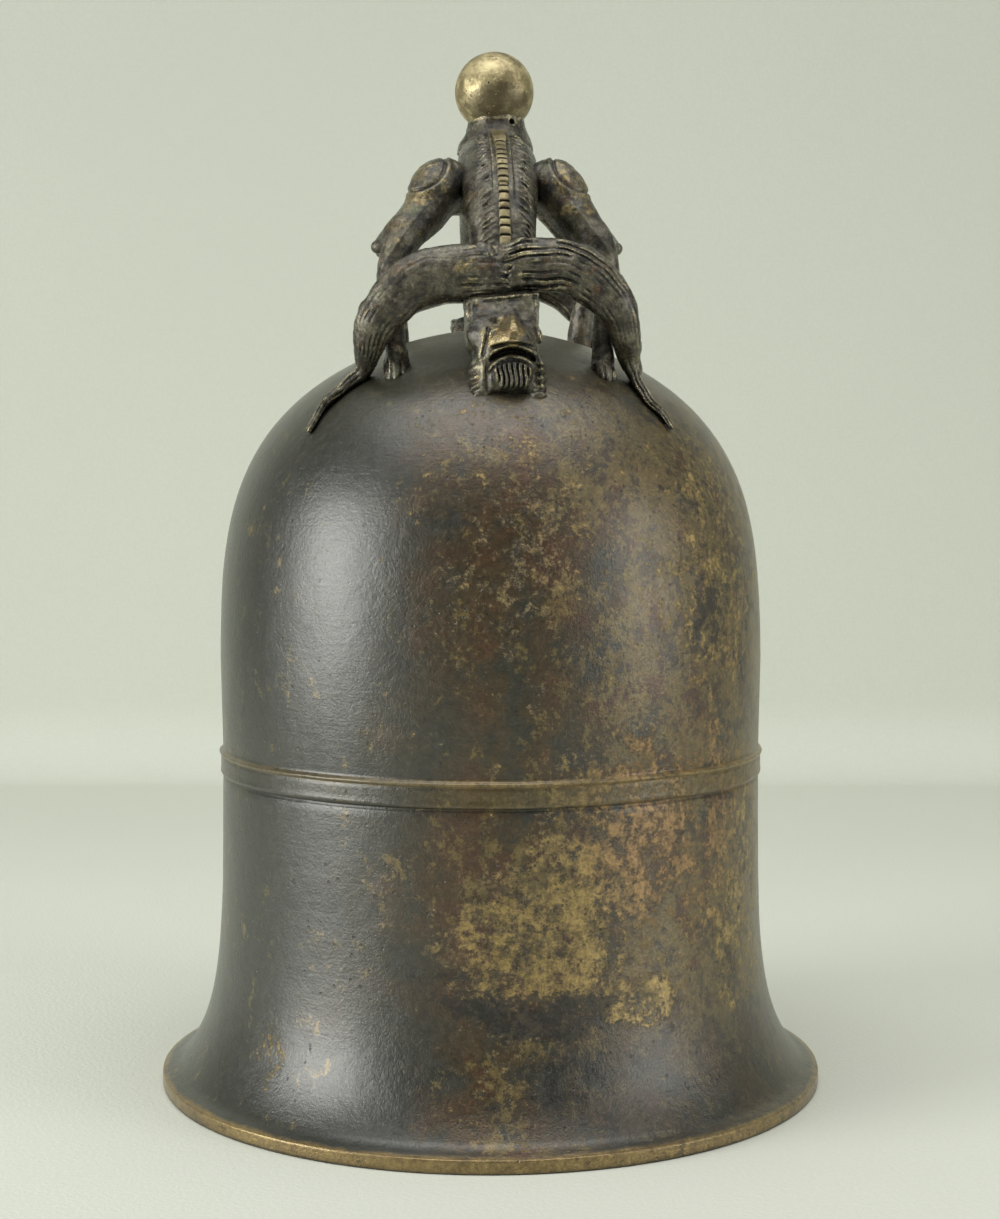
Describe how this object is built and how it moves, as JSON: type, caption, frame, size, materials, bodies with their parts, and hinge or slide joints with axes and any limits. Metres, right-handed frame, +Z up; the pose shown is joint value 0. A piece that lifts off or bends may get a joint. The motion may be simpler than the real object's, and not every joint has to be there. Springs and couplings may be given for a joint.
{
  "type": "temple bell",
  "caption": "Bronze temple bell with a domed body, banded waist and flared mouth, a two-headed beast hanger with a jewel, and a swinging clapper inside.",
  "frame": {"origin": "centre of the mouth, on the plane that the rim stands on", "axes": "+Z up the bell's axis towards the jewel; the front head faces -Y; +X is to the right of a viewer in front"},
  "size_m": [0.22, 0.22, 0.3399],
  "materials": {
    "shell_bronze": "satin, worn dark patina",
    "hanger_bronze": "satin dark patina, brassy where it stands proud",
    "polished_bronze": "rubbed bright, with brown stains",
    "striker_bronze": "cast, dull, bright on the striking line",
    "old_iron": "forged, rusted brown-black"
  },
  "bodies": {
    "bell": {"bell_shell": "shell_bronze", "hanger_body": "hanger_bronze", "front_head": "hanger_bronze", "rear_head": "hanger_bronze", "front_left_leg": "hanger_bronze", "front_right_leg": "hanger_bronze", "rear_left_leg": "hanger_bronze", "rear_right_leg": "hanger_bronze", "front_left_lock": "hanger_bronze", "front_right_lock": "hanger_bronze", "rear_left_lock": "hanger_bronze", "rear_right_lock": "hanger_bronze", "front_spine_ridge": "polished_bronze", "rear_spine_ridge": "polished_bronze", "jewel_collar": "hanger_bronze", "jewel_ball": "polished_bronze", "jewel_dowel": "old_iron", "clapper_staple": "old_iron", "clapper_pin": "old_iron", "pin_washers": "old_iron"},
    "clapper": {"clapper_rod": "old_iron", "clapper_ball": "striker_bronze", "ball_washer": "old_iron"}
  },
  "joints": [
    {"name": "clapper_swing", "type": "hinge", "parent": "bell", "child": "clapper", "pos_m": [0, 0, 0.224], "axis": [1, 0, 0], "range_deg": [-21.8, 21.8]}
  ]
}
